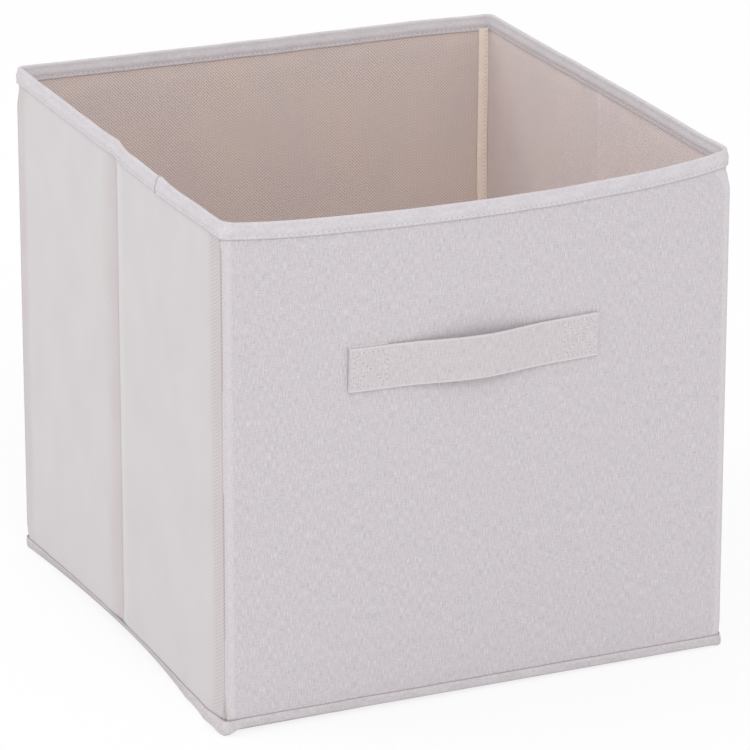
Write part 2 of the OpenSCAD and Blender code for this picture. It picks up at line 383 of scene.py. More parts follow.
class Finish:
    """A procedural material on one Principled shader."""

    def __init__(self, name, roughness, sheen=0.0):
        self.material = bpy.data.materials.new(name)
        self.material.use_nodes = True
        self.nodes = self.material.node_tree.nodes
        self.links = self.material.node_tree.links
        self.shader = self.nodes["Principled BSDF"]
        self.set("Roughness", roughness)
        self.set("Specular IOR Level", CLOTH_SPECULAR)
        self.set("Sheen Weight", sheen)
        self.set("Sheen Roughness", SHEEN_ROUGHNESS)

    def node(self, kind, settings, *values, **named):
        """Adds a node. settings are its properties, and values fill its inputs in order or by name."""
        made = self.nodes.new(kind)
        for key, value in settings.items():
            setattr(made, key, value)
        for key, value in [*enumerate(values), *named.items()]:
            self.put(made.inputs[key], value)
        return made

    def set(self, name, value):
        self.put(self.shader.inputs[name], value)

    def put(self, socket, value):
        """Sets a socket, or links it where the value comes from another node."""
        if isinstance(value, Number):
            self.links.new(value.socket, socket)
        elif isinstance(value, bpy.types.NodeSocket):
            self.links.new(value, socket)
        else:
            socket.default_value = value

    def parts(self, place):
        """The three numbers of a vector."""
        split = self.node("ShaderNodeSeparateXYZ", {}, place)
        return [Number(self, split.outputs[axis]) for axis in range(3)]

    def flat_cloth(self):
        """Place on the flat cloth, in metres: across and up."""
        return self.parts(self.node("ShaderNodeUVMap", {"uv_map": "cloth"}).outputs[0])[:2]

    def body_place(self):
        """Place on the object, in metres."""
        return self.parts(self.node("ShaderNodeTexCoord", {}).outputs["Object"])

    def noise(self, x, y, seed, detail=2.0):
        """Random pattern from about 0.2 to 0.8, one unit across."""
        place = self.node("ShaderNodeCombineXYZ", {}, x, y, seed).outputs[0]
        made = self.node("ShaderNodeTexNoise", {}, Vector=place, Scale=1.0, Detail=detail, Roughness=0.5)
        return Number(self, made.outputs[0])

    def ramp(self, value, low, high):
        """Goes from 0 at low to 1 at high."""
        made = self.node("ShaderNodeMapRange", {"clamp": True}, value, low, high, 0.0, 1.0)
        return Number(self, made.outputs[0])

    def wave(self, value):
        """Sine of a value in turns, from 0 to 1."""
        sine = self.node("ShaderNodeMath", {"operation": "SINE"}, value * (2 * math.pi))
        return Number(self, sine.outputs[0]) * 0.5 + 0.5

    def mix(self, share, first, second):
        """Mixes two colours."""
        made = self.nodes.new("ShaderNodeMix")
        made.data_type = "RGBA"
        self.put(made.inputs[0], share)
        self.put(made.inputs[6], first)
        self.put(made.inputs[7], second)
        return made.outputs[2]

    def relief(self, height, depth):
        """Height from 0 to 1 that stands out by depth in metres."""
        made = self.node("ShaderNodeBump", {}, Strength=1.0, Distance=depth, Height=height)
        self.set("Normal", made.outputs[0])


def srgb(red, green, blue):
    """Screen colour, each from 0 to 255, as a linear one."""
    linear = []
    for value in (red, green, blue):
        share = value / 255
        linear.append(share / 12.92 if share <= 0.04045 else ((share + 0.055) / 1.055) ** 2.4)
    return (*linear, 1.0)


def linen(name, light, dark, fleck, fold_width=None):
    """Plain weave of uneven yarns: pale upright streaks, darker ones across, a few specks and pinkish
    clouds. fold_width is the width of a strap whose two folded edges catch the light."""
    finish = Finish(name, roughness=0.9, sheen=0.15)
    across, up = finish.flat_cloth()
    yarn = 0.42 * MM
    warp = finish.noise(across / yarn, up / (5 * MM), seed=7.0, detail=1.0)
    weft = finish.noise(across / (4 * MM), up / yarn, seed=3.0, detail=1.0)
    crossed = finish.noise(across / (0.9 * MM), up / (0.7 * MM), seed=21.0)
    blotch = finish.noise(across / (12 * MM), up / (8 * MM), seed=11.0)
    speck = finish.noise(across / (1.3 * MM), up / (0.7 * MM), seed=15.0, detail=0.0)
    weave = finish.ramp(warp * 0.4 + weft * 0.4 + crossed * 0.2, 0.36, 0.64)
    base = finish.mix(weave, dark, light)
    tinted = finish.mix(finish.ramp(blotch, 0.45, 0.7) * 0.35, base, fleck)
    pale = finish.mix(finish.ramp(warp, 0.56, 0.72) * 0.5, tinted, light)
    # Painted highlight: the last few millimetres of cloth before each upright corner are paler, for the
    # light on the rounded corner edge.
    corner_highlight = finish.ramp(abs(across), HALF_W - 6 * MM, HALF_W - 4 * MM)
    pale = finish.mix(corner_highlight * 0.5, pale, light)
    if fold_width is not None:
        from_edge = fold_width / 2 - abs(up - fold_width / 2)
        pale = finish.mix((1.0 - finish.ramp(from_edge, 0.4 * MM, 1.4 * MM)) * 0.8, pale, light)
    dashes = finish.ramp(weft, 0.58, 0.74) * 0.35 + finish.ramp(speck, 0.66, 0.78) * 0.6
    finish.set("Base Color", finish.mix(dashes, pale, dark))
    finish.relief(warp * 0.5 + weft * 0.5, 0.08 * MM)
    return finish.material


def emboss(finish, across, up, pitch):
    """Fine diamonds: 1 in the middle of each dimple and 0 between them."""
    return finish.wave((across + up) / pitch) * finish.wave((across - up) / pitch)


def lining_fleece(name, light, dark, tint, pitch, depth):
    """Pressed fleece with a clear diamond emboss and slow warm and pinkish clouds."""
    finish = Finish(name, roughness=0.85, sheen=0.1)
    across, up = finish.flat_cloth()
    dimple = emboss(finish, across, up, pitch)
    cloud = finish.noise(across / (38 * MM), up / (60 * MM), seed=5.0)
    base = finish.mix(finish.ramp(cloud, 0.35, 0.65), light, tint)
    crease = (1.0 - finish.ramp(across, 0.5 * MM, 1.3 * MM)) * 0.5
    finish.set("Base Color", finish.mix(crease, finish.mix(dimple * depth, base, dark), light))
    finish.relief(1.0 - dimple, 0.16 * MM)
    return finish.material


def side_fleece(name, light, dark, tint, front_flank_highlight, pitch):
    """The same fleece pulled smooth over the boards. Its emboss shows where it is slack: at the corners
    and behind the crease. tint colours slow clouds and is painted shade over the slack strips by the
    corners and behind the crease; a thin dark line of painted shade runs along the crease, and a strip
    just in front of it is painted lighter, a painted highlight."""
    finish = Finish(name, roughness=0.85, sheen=0.1)
    across, up = finish.flat_cloth()
    dimple = emboss(finish, across * 0.6, up, pitch)
    corner = finish.ramp(abs(across), HALF_D - 18 * MM, HALF_D - 13 * MM)
    behind = (1.0 - finish.ramp(across, 1 * MM, 20 * MM)) * finish.ramp(across, -1 * MM, 1 * MM)
    rear = finish.ramp(across, 0.0, 10 * MM)
    slack = corner * (0.8 - rear * 0.45) + behind * 0.4
    cloud = finish.noise(across / (30 * MM), up / (45 * MM), seed=5.0)
    # The tint gives slow random clouds, and painted shade over the hollow strips by the corners and,
    # strongest, over the rear flank behind the crease.
    base = finish.mix(finish.ramp(cloud, 0.4, 0.7) * 0.3 + corner * 0.3 + behind * 0.7, light, tint)
    seam = finish.ramp(abs(across), HALF_D - 3.6 * MM, HALF_D - 2.6 * MM)
    # crease: a thin dark line of painted shade along the bottom of the crease valley.
    crease = 1.0 - finish.ramp(abs(across), 0.3 * MM, 1.2 * MM)
    # front: a strip just in front of the crease is mixed towards a lighter colour, a painted highlight.
    front = finish.ramp(across, -14 * MM, -8 * MM) * (1.0 - finish.ramp(across, -2 * MM, 0.0))
    base = finish.mix(front * 0.7, base, front_flank_highlight)
    shaded = finish.mix(dimple * (slack * 0.6 + 0.05) + seam * 0.5 + crease * 0.35, base, dark)
    finish.set("Base Color", shaded)
    finish.relief((1.0 - dimple) * (slack * 0.9 + 0.1), 0.1 * MM)
    return finish.material


def binding(name, light, dark, edge, width, strength=0.5, end=None):
    """Finely woven tape, slightly uneven in tone, with painted shade of a given strength along its two
    edges, where they meet the cloth. end is the place along it of a turned end, where a dark line of painted
    shadow stands for the gap between its layers."""
    finish = Finish(name, roughness=0.85, sheen=0.1)
    across, up = finish.flat_cloth()
    warp = finish.noise(across / (0.5 * MM), up / (3 * MM), seed=2.0)
    weft = finish.noise(across / (3 * MM), up / (0.5 * MM), seed=4.0)
    cloud = finish.noise(across / (12 * MM), up / (6 * MM), seed=9.0)
    weave = warp * 0.5 + weft * 0.5
    share = finish.ramp(weave, 0.38, 0.62) * 0.75 + finish.ramp(cloud, 0.35, 0.65) * 0.25
    # Painted shade along both edges of the tape, where it meets the cloth, and at a turned end for the gap
    # between its layers.
    first_edge = 1.0 - finish.ramp(up, 0.15 * MM, 0.6 * MM)
    painted_shade = first_edge + finish.ramp(up, width - 0.6 * MM, width - 0.15 * MM)
    if end is not None:
        painted_shade = painted_shade + (1.0 - finish.ramp(abs(across - end), 0.3 * MM, 0.8 * MM)) * 1.5
    finish.set("Base Color", finish.mix(painted_shade * strength, finish.mix(share, dark, light), edge))
    finish.relief(weave, 0.06 * MM)
    return finish.material


def yarn(name, light, dark):
    """Twisted sewing thread."""
    finish = Finish(name, roughness=0.7, sheen=0.1)
    x, y, z = finish.body_place()
    twist = finish.wave((x + y + z) / (0.5 * MM))
    finish.set("Base Color", finish.mix(twist, dark, light))
    finish.relief(twist, 0.03 * MM)
    return finish.material


def cardboard(name, light, dark):
    """Brown board with fibres."""
    finish = Finish(name, roughness=0.95)
    x, y, z = finish.body_place()
    fibre = finish.noise(x / (2 * MM) + y / (2 * MM), z / (14 * MM), seed=4.0, detail=4.0)
    finish.set("Base Color", finish.mix(finish.ramp(fibre, 0.35, 0.7), dark, light))
    finish.relief(fibre, 0.05 * MM)
    return finish.material


LINEN = linen("linen_cloth", srgb(223, 217, 221), srgb(188, 183, 188), srgb(212, 201, 205))
STRAP_LINEN = linen(
    "strap_linen", srgb(222, 216, 218), srgb(192, 185, 188), srgb(214, 203, 205),
    fold_width=STRAP_HIGH[2] - STRAP_LOW[2])
SIDE_FLEECE = side_fleece(
    "side_fleece", srgb(215, 211, 212), srgb(172, 158, 154), srgb(206, 196, 198),
    front_flank_highlight=srgb(220, 217, 218), pitch=2.2 * MM)
LINING_FLEECE = lining_fleece(
    "lining_fleece", srgb(230, 215, 207), srgb(170, 153, 145), srgb(225, 211, 208),
    pitch=2.0 * MM, depth=0.8)
# The side walls' lining is the same fleece as the others, in a lighter copy with a fainter emboss: painted
# light on the inner faces of the side walls.
LIT_SIDE_LINING = lining_fleece(
    "side_lining", srgb(236, 224, 221), srgb(204, 190, 187), srgb(232, 221, 221),
    pitch=2.0 * MM, depth=0.5)
# Tones of the tape: light and dark of its weave, and the colour of the painted shade along its edges.
TAPE_TONES = srgb(221, 216, 219), srgb(200, 195, 199), srgb(168, 158, 162)
# The bottom tape is the same tape as the rim, given darker tones as painted shade for its downward turn; the
# bottom cloth takes these darker tones too.
SHADED_FOOT_TONES = srgb(217, 211, 214), srgb(192, 186, 190), srgb(144, 130, 133)
THREAD = yarn("sewing_thread", srgb(240, 236, 236), srgb(216, 211, 212))
# Needle holes are small dark beads: painted shade of the holes between stitches.
NEEDLE_HOLE_SHADE = yarn("needle_hole", srgb(164, 154, 157), srgb(140, 130, 133))
BOARD = cardboard("brown_board", srgb(176, 146, 110), srgb(140, 110, 78))


# Outer cloth

# How far the cloth lies off its board, and its waves, each with a height, a size and a seed
FRONT_STANDS = 0.35 * MM
FRONT_WAVES = ((0.25 * MM, 60 * MM, 1.0), (0.12 * MM, 17 * MM, 2.0))
SIDE_STANDS = 0.3 * MM
SIDE_WAVES = ((0.2 * MM, 70 * MM, 3.0), (0.06 * MM, 20 * MM, 4.0))

# The hollow strip beside a corner, and the edge of the board that shows through next to it
HOLLOW_DEPTH = 1.1 * MM
BOARD_EDGE_HEIGHT = 0.25 * MM

# How far side cloth reaches round the corner under the wall's cloth, and the board's play behind the cloth
HIDDEN = 2.4 * MM
BOARD_SLACK = 0.1 * MM


def waves(x, y, layers):
    """Sum of random waves, each given as its height, size and seed."""
    return sum(height * ripple(x, y, size, seed) for height, size, seed in layers)


def rim_round(side, end, z):
    """Radius of the outer face of a rim corner, which is tight at the tape's edge and rounder above."""
    low = RIM_LOW_ROUND[side, end]
    return low + (RIM_ROUND[side, end] - low) * smooth(RIM_FOOT + 1.5 * MM, RIM_TOP - 1 * MM, z)


def cloth_round(side, end, z):
    """Radius of an outer cloth corner, which opens up to meet the tapes above and below."""
    foot = 1 - smooth(SEAM_TOP, SEAM_TOP + 9 * MM, z)
    top = smooth(RIM_FOOT - 13 * MM, RIM_FOOT + 1 * MM, z)
    opening = (rim_round(side, end, z) - CLOTH_ROUND) * top + (FOOT_CORNER - CLOTH_ROUND) * foot
    return CLOTH_ROUND + opening


def pressed(z):
    """Share of its slack that cloth keeps at a height. The tapes press its two edges flat."""
    below = smooth(SEAM_TOP + 1 * MM, SEAM_TOP + 7 * MM, z)
    return below * (1 - smooth(RIM_FOOT - 6 * MM, RIM_FOOT - 1 * MM, z))


def front_relief(x, z):
    """How far the front cloth lies off its board."""
    return (FRONT_STANDS + waves(x, z, FRONT_WAVES)) * pressed(z)


def side_free(y, z):
    """Share of its slack that the cloth of a side keeps, above the arch of its foot."""
    return pressed(z - ARCH_RISE * foot_arch(y))


def crease_dip(y, z):
    """How far all layers of a side wall sink in at its crease, less where the tapes hold them."""
    return crease_sink(y) * (HELD_DIP + (1 - HELD_DIP) * side_free(y, z))


def side_relief(side, y, z):
    """How far a side's outer cloth lies off its boards, with its slack strips at the corners and the sunk
    crease."""
    from_corner = HALF_D - abs(y)
    strip = smooth(1.5 * MM, 7 * MM, from_corner) * (1 - smooth(9 * MM, BOARD_EDGE, from_corner))
    edge = bump(from_corner - BOARD_EDGE - 1 * MM, 2.5 * MM)
    stands = SIDE_STANDS + waves(y, z, SIDE_WAVES) - HOLLOW_DEPTH * strip + BOARD_EDGE_HEIGHT * edge
    return stands * side_free(y, z) + cloth_flare(side, y, z) - crease_dip(y, z)


def wall_cloth(end):
    """Outer cloth of the front or back wall, wrapped round both upright corners."""
    bottom = SEAM_TOP - 1 * MM
    height = RIM_FOOT + 4 * MM - bottom
    arc = corner_length(CLOTH_ROUND)
    straight = HALF_W - CLOTH_ROUND
    width = 2 * (straight + arc)

    def place(across, up):
        run = (across - 0.5) * width
        z = bottom + up * (height + max(0.0, rim_lift(run, end * HALF_D)))
        past = abs(run) - straight
        relief = front_relief(run, z) * (1 - smooth(-4 * MM, 0.0, past))
        relief += cloth_flare(run, end * (HALF_D - CLOTH_ROUND), z) * smooth(0.0, 1.0, past / arc)
        tuck = 0.5 * MM * smooth(0.6, 1.0, past / arc)
        radius = cloth_round(LEFT if run < 0 else RIGHT, end, z)
        return end_wall_point(end, run, straight, arc, z, tuck - relief, radius)

    name = END_NAME[end]
    pattern = rectangle(width, height, left=-width / 2)
    piece = cloth_grid(f"{name}_cloth", 150, 120, place, pattern, LINEN, CLOTH, away_from_middle)
    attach(piece, f"{name}_panel")
    made_of(piece, "linen_cloth", f"{name}_outer_cloth", flat=(width, height), held="stretched")


def side_cloths(side):
    """Outer cloth of one side in three runs: from under each corner to the middle of a half, and over the
    crease."""
    height = RIM_FOOT + 5 * MM - SEAM_TOP
    seam = HALF_D - CLOTH_ROUND

    def run_of_cloth(name, start, stop, columns, nodes):
        def place(across, up):
            y = start + across * (stop - start)
            bottom = SEAM_TOP - 1 * MM + ARCH_RISE * foot_arch(y)
            top = RIM_FOOT + 4 * MM + max(0.0, rim_lift(side * HALF_W, y))
            z = bottom + up * (top - bottom)
            inset = 0.8 * MM * (1 - smooth(0.0, 1.6 * MM, seam - abs(y))) - side_relief(side, y, z)
            past = max(0.0, abs(y) - HALF_SPLIT)
            end = FRONT if y < 0 else BACK
            radius = cloth_round(side, end, z)
            if abs(y) > seam:
                share = 1 - (abs(y) - seam) / corner_length(radius)
                return corner_point(side, end, share, z, inset, radius)
            drawn = past * (radius - CLOTH_ROUND) / (seam - HALF_SPLIT)
            return side_point(side, y - math.copysign(drawn, y), z, inset)

        pattern = rectangle(stop - start, height, left=start)
        piece = cloth_grid(name, columns, 110, place, pattern, SIDE_FLEECE, CLOTH, away_from_middle)
        made_of(piece, "side_cloth", *nodes, flat=(stop - start, height), held="stretched")
        return piece

    nodes = [f"{half_name(side, end)}_outer_cloth" for end in (FRONT, BACK)]
    for end, node in zip((FRONT, BACK), nodes):
        start, stop = sorted((end * (seam + HIDDEN), end * HALF_SPLIT))
        hold_corner(run_of_cloth(f"{half_name(side, end)}_cloth", start, stop, 50, [node]), side, end)
    hold_crease(run_of_cloth(f"{SIDE_NAME[side]}_crease_cloth", -HALF_SPLIT, HALF_SPLIT, 150, nodes))


def board(name, columns, place, width, height):
    """Cardboard inside a wall or half of one, which is carried by the panel of the same name."""
    pattern = rectangle(width, height)
    piece = cloth_grid(
        f"{name}_stiffener", columns, 60, place, pattern, BOARD, BOARD_IN - CLOTH, away_from_middle)
    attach(piece, f"{name}_panel")
    made_of(piece, "cardboard", f"{name}_board")


def wall_board(end):
    """Cardboard of the front or back wall, with its top corners cut to clear the rounder cloth there."""
    name = END_NAME[end]
    low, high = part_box(f"{name}_board")

    def place(across, up):
        z = low[2] + up * (high[2] - low[2])
        half = high[0] - 4 * MM * smooth(RIM_FOOT - 12 * MM, RIM_FOOT - 2 * MM, z)
        return end_point(end, (across * 2 - 1) * half, z, CLOTH + BOARD_SLACK)

    board(name, 60, place, high[0] - low[0], high[2] - low[2])


def side_boards(side):
    """Cardboard halves of one side, bent in a little at the crease and cut to the arch of its foot."""
    length = HALF_D - BOARD_EDGE - BOARD_CREASE
    for end in (FRONT, BACK):
        def place(across, up, end=end):
            y = end * (BOARD_CREASE + across * length)
            bottom = BOARD_FOOT + ARCH_RISE * foot_arch(y)
            z = bottom + up * (BOARD_TOP - bottom)
            return side_point(side, y, z, CLOTH + BOARD_SLACK + crease_dip(y, z))

        board(half_name(side, end), 50, place, length, BOARD_TOP)


# Lining


LINING_STANDS = 0.45 * MM
SIDE_LINING_SHIFT = 0.4


def lining_relief(along, z):
    """How far the lining stands off its board, in soft upright waves."""
    broad = 0.5 * MM * ripple(along, z * 0.25, 24 * MM, 5.0)
    fine = 0.15 * MM * ripple(along, z * 0.4, 11 * MM, 6.0)
    return (LINING_STANDS + broad + fine) * (1 - smooth(RIM_FOOT - 6 * MM, RIM_FOOT - 1 * MM, z))


def lining(name, columns, place, pattern, material, width, height):
    """Lining of a wall or half of one."""
    piece = cloth_grid(
        f"{name}_inner_cloth", columns, 60, place, pattern, material, WALL - BOARD_IN, towards_middle)
    made_of(piece, "lining_cloth", f"{name}_lining", flat=(width, height), held="stretched")
    return piece


def wall_lining(end):
    """Lining of the front or back wall, rounded halfway into both inner corners."""
    bottom = BASE_LOW[2]
    height = RIM_FOOT + 4 * MM - bottom
    arc = corner_length(LINING_ROUND)
    straight = HALF_W - LINING_ROUND
    width = 2 * straight + arc

    def place(across, up):
        run = (across - 0.5) * width
        z = bottom + up * (height + max(0.0, rim_lift(run, end * HALF_D)))
        inset = WALL + lining_relief(run, z)
        return end_wall_point(end, run, straight, arc, z, inset, LINING_ROUND)

    pattern = rectangle(width, height, left=HALF_W)
    piece = lining(END_NAME[end], 120, place, pattern, LINING_FLEECE, width, height)
    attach(piece, f"{END_NAME[end]}_panel")


def side_linings(side):
    """Lining of one side, rounded halfway into both inner corners and split at the crease."""
    bottom = SEAM_TOP + 0.5 * MM
    height = RIM_FOOT + 4 * MM - bottom
    arc = corner_length(LINING_ROUND)
    width = arc / 2 + HALF_D - LINING_ROUND - CREASE_GAP
    pattern = rectangle(-width, height, left=width)
    for end in (FRONT, BACK):
        def place(across, up, end=end):
            run = arc / 2 + across * width
            y = end * (HALF_D - LINING_ROUND - max(0.0, run - arc))
            z = bottom + up * (height + max(0.0, rim_lift(side * HALF_W, y)))
            inset = WALL + lining_relief(y + SIDE_LINING_SHIFT, z) + crease_dip(y, z)
            if run >= arc:
                return side_point(side, y, z, inset)
            return corner_point(side, end, run / arc, z, inset, LINING_ROUND)

        name = half_name(side, end)
        hold_corner(lining(name, 90, place, pattern, LIT_SIDE_LINING, width, height), side, end)


# Stitches


def new_bead():
    """Mesh of one stitch, a small ball that is stretched into place."""
    mesh = bmesh.new()
    bmesh.ops.create_uvsphere(mesh, u_segments=6, v_segments=4, radius=1.0)
    data = bpy.data.meshes.new("bead")
    mesh.to_mesh(data)
    mesh.free()
    return data


BEAD = new_bead()


def stitch_places(place, start, stop, pitch, size, sink):
    """Places of a row of stitches along place(run), which gives a point and the way out. size is half of a
    stitch each way."""
    count = max(1, round((stop - start) / pitch))
    step = (stop - start) / count
    half_length, half_width, half_height = size
    places = []
    for number in range(count):
        middle = start + (number + 0.5) * step
        before, _ = place(middle - half_length)
        after, _ = place(middle + half_length)
        centre, out = place(middle)
        along = (after - before).normalized()
        out = (out - along * out.dot(along)).normalized()
        aside = out.cross(along)
        axes = Matrix((along * half_length, aside * half_width, out * half_height)).transposed()
        places.append(Matrix.Translation(centre - out * sink) @ axes.to_4x4())
    return places


def beads(name, places, material):
    """Object of one bead for each place."""
    mesh = bmesh.new()
    for _ in places:
        mesh.from_mesh(BEAD)
    for number, vert in enumerate(mesh.verts):
        vert.co = places[number // len(BEAD.vertices)] @ vert.co
    return new_object(name, mesh, material)


# Half of a stitch along its pitch, and how deep thread and needle holes sit
STITCH_SHARE = 0.37
THREAD_SINK = 0.02 * MM
HOLE_SINK = 0.04 * MM
HOLE_HEIGHT = 0.14 * MM


def sewn(name, rows, pitch, hold, thick=0.46 * MM, tall=0.2 * MM, yarn_used=THREAD, hole=0.4 * MM):
    """Thread and needle holes along several rows, each given as (place, start, stop). hold makes a piece
    move with its body."""
    stitch_size = (STITCH_SHARE * pitch, thick / 2, tall)
    hole_size = (hole, thick / 2, HOLE_HEIGHT)
    thread = []
    holes = []
    for place, start, stop in rows:
        half = pitch / 2
        thread += stitch_places(place, start, stop, pitch, stitch_size, THREAD_SINK)
        holes += stitch_places(place, start + half, stop - half, pitch, hole_size, HOLE_SINK)
    for label, places, material in (("stitches", thread, yarn_used), ("needle_holes", holes, NEEDLE_HOLE_SHADE)):
        piece = beads(f"{name}_{label}", places, material)
        made_of(piece, "thread")
        hold(piece)


# Rim tape

TOP_ROUND = 1.5 * MM
TAPE_FOOT = RIM_FOOT + 0.8 * MM
LEG = RIM_TOP - TOP_ROUND - TAPE_FOOT
TAPE_WIDTH = 2 * LEG + math.pi * TOP_ROUND
TAPE_CLOTH = 0.5 * MM
STITCH_UP = 1.7 * MM
STITCH_PITCH = 3.2 * MM
RIM_BINDING = binding("rim_binding", *TAPE_TONES, TAPE_WIDTH)


def tape_off(height):
    """How far the tape stands off the wall at a height above its edge: pinched along its stitches, and drawn
    in towards the top."""
    pinched = TAPE * (1 - 0.3 * bump(height - STITCH_UP, 0.9 * MM)) - 0.1 * MM * bump(height, 0.6 * MM)
    return pinched - (TAPE + WALL / 2 - TOP_ROUND) * smooth(0.45 * LEG, LEG, height)


def tape_section(across):
    """Inset and height of a point of the rim tape, from its outer edge over the top to its inner one."""
    if across < LEG:
        return -tape_off(across), TAPE_FOOT + across
    if across > LEG + math.pi * TOP_ROUND:
        height = TAPE_WIDTH - across
        return WALL + tape_off(height), TAPE_FOOT + height
    angle = (across - LEG) / TOP_ROUND
    return WALL / 2 - TOP_ROUND * math.cos(angle), RIM_TOP - TOP_ROUND + TOP_ROUND * math.sin(angle)


def raised(point):
    """Point of the rim tape at its true height, with the small unevenness of the tape."""
    lift = rim_lift(point.x, point.y) + 0.3 * MM * ripple(point.x, point.y, 26 * MM, 8.0)
    return point + Vector((0, 0, lift))


def rim_end_place(end, x, across):
    """Point of the rim tape on the front or back wall."""
    inset, z = tape_section(across)
    if inset > WALL / 2:
        inset += 0.7 * MM * bump(abs(x) - (HALF_W - 7 * MM), 2.5 * MM)
    return raised(end_point(end, x, z, inset))


def rim_side_place(side, y, across):
    """Point of the rim tape on a side wall, which peaks at the crease."""
    inset, z = tape_section(across)
    point = side_point(side, y, z + 0.4 * MM * bump(y, 7 * MM), inset + 0.45 * crease_sink(y))
    return raised(point)


def rim_corner_place(side, end, run, across):
    """Point of the rim tape near an upright corner. run is 0 where the front or back wall ends."""
    widest = RIM_ROUND[side, end]
    arc = corner_length(widest)
    inset, z = tape_section(across)
    radius = rim_round(side, end, z) if across < LEG else widest
    past = max(-run, run - arc)
    if past <= 0:
        return raised(corner_point(side, end, run / arc, z, inset, radius))
    along = widest + past - (widest - radius) * max(0.0, 1 - past / CORNER_RUN)
    if run < 0:
        return rim_end_place(end, side * (HALF_W - along), across)
    return rim_side_place(side, end * (HALF_D - along), across)


def rim_length(name, start, stop, place, along, nodes, hold):
    """Length of rim tape with its stitches. along gives the place on the flat tape, and hold makes a piece
    move with its body."""
    columns = max(4, round((stop - start) / (1.8 * MM)))

    def at(across, up):
        return place(start + across * (stop - start), up * TAPE_WIDTH)

    def pattern(across, up):
        return (along(start + across * (stop - start)), up * TAPE_WIDTH)

    tape = cloth_grid(f"{name}_rim_tape", columns, 30, at, pattern, RIM_BINDING, TAPE_CLOTH, UPWARDS)
    made_of(tape, "binding_tape", *nodes, flat=(stop - start, TAPE_WIDTH), held="folded")
    hold(tape)
    rows = []
    for across, reach in ((STITCH_UP, 0.5 * MM), (TAPE_WIDTH - STITCH_UP, -0.5 * MM)):
        def stitch_at(run, across=across, reach=reach):
            point = place(run, across)
            ahead = place(run + 0.5 * MM, across) - point
            up = place(run, across + reach) - place(run, across - reach)
            out = ahead.cross(up)
            away = away_from_middle(point) * math.copysign(1, reach)
            return point, out if out.dot(away) > 0 else -out

        rows.append((stitch_at, start, stop))
    sewn(f"{name}_rim", rows, STITCH_PITCH, hold)


def rims():
    """Rim tape all round, split at the creases and where the body that carries it changes."""
    for end in (FRONT, BACK):
        name = END_NAME[end]
        first, last = (side * (HALF_W - RIM_ROUND[side, end] - CORNER_RUN) for side in (LEFT, RIGHT))

        def place(run, across, end=end):
            return rim_end_place(end, run, across)

        def hold(piece, name=name):
            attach(piece, f"{name}_panel")

        rim_length(name, first, last, place, lambda run: run, [f"{name}_rim_binding"], hold)
    for side in (LEFT, RIGHT):
        for end in (FRONT, BACK):
            radius = RIM_ROUND[side, end]
            arc = corner_length(radius)
            stop = arc + HALF_D - radius - CREASE_GAP

            def round_corner(run, side=side, radius=radius):
                return side * (HALF_W - radius + run)

            def place(run, across, side=side, end=end):
                return rim_corner_place(side, end, run, across)

            def hold(piece, side=side, end=end):
                hold_corner(piece, side, end)

            start = -CORNER_RUN
            if (side, end) == (RIGHT, BACK):
                start = arc
                rim_length("right_back_corner", -CORNER_RUN, arc, place, round_corner, ["back_rim_binding"],
                           lambda piece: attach(piece, "back_panel"))
            half = half_name(side, end)
            rim_length(half, start, stop, place, round_corner, [f"{half}_rim_binding"], hold)


def tape_join():
    """Overlapped end of the rim tape on the left side, a little proud of the layer below."""
    start = -64 * MM
    length = 14 * MM
    proud = 0.8 * MM
    sunk = 0.1 * MM
    turned_edge = 0.25 * MM
    # The dark line 0.8 mm from the turned end is painted shadow of the gap between the folded layers.
    finish = binding("turned_binding", *TAPE_TONES, TAPE_WIDTH, end=0.8 * MM)

    def place(across, up):
        off = proud * (1 - smooth(0.0, 1.0, across)) + turned_edge * bump(across * length, 1.2 * MM) - sunk
        y = start - across * length
        section = min(max(up, 0.02), 0.98) * TAPE_WIDTH
        point = rim_side_place(LEFT, y, section)
        before = rim_side_place(LEFT, y, max(0.0, section - 0.3 * MM))
        after = rim_side_place(LEFT, y, min(TAPE_WIDTH, section + 0.3 * MM))
        out = (after - before).cross(Vector((0, 1, 0))).normalized()
        if out.dot(point - side_point(LEFT, y, RIM_TOP - 4 * MM, WALL / 2)) < 0:
            out = -out
        return point + out * off

    pattern = rectangle(length, TAPE_WIDTH)
    piece = cloth_grid("left_rim_join", 24, 40, place, pattern, finish, TAPE_CLOTH, UPWARDS)
    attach(piece, "left_front_panel")
    made_of(piece, "binding_tape", flat=(length, TAPE_WIDTH), held="folded")


# Bottom tape

FOOT_ROUND = 1.6 * MM
FOOT_PROUD = 1.0 * MM
FOOT_LOW = 0.2 * MM
FOOT_TOP = 7.1 * MM
FOOT_INNER_LEG = 2.0 * MM
FOOT_WIDTH = FOOT_TOP - FOOT_LOW - FOOT_ROUND + math.pi * FOOT_ROUND + FOOT_INNER_LEG
SIDE_FOOT_WIDTH = FOOT_WIDTH + 2.8 * MM

# Lift of the tape's upper and lower edge along the front, each at the middle and how much more at the left
TOP_LIFT = (1.32 * MM, 0.88 * MM)
LOW_LIFT = (1.87 * MM, 0.968 * MM)

# A drooping ear hangs where two tapes meet
EAR_WIDTH = 3.5 * MM
EAR_DEPTH = 11 * MM
# Painted shade: the bottom tape uses the darker tones with a stronger painted shade along its top edge, and
# the bottom cloth uses the same darker tones.
FOOT_BINDING = binding("foot_binding", *SHADED_FOOT_TONES, FOOT_WIDTH, strength=0.75)
BOTTOM_CLOTH = binding("bottom_cloth", *SHADED_FOOT_TONES, 1.0)


def foot_ear(x, y):
    """Share of the drooping ear where two bottom tapes meet."""
    return bump(HALF_W - abs(x), EAR_WIDTH) * bump(HALF_D - abs(y), EAR_DEPTH)


def beside_wall(x):
    """1 at the foot of a side wall and 0 further in."""
    return smooth(HALF_W - 12 * MM, HALF_W - 2 * MM, abs(x))


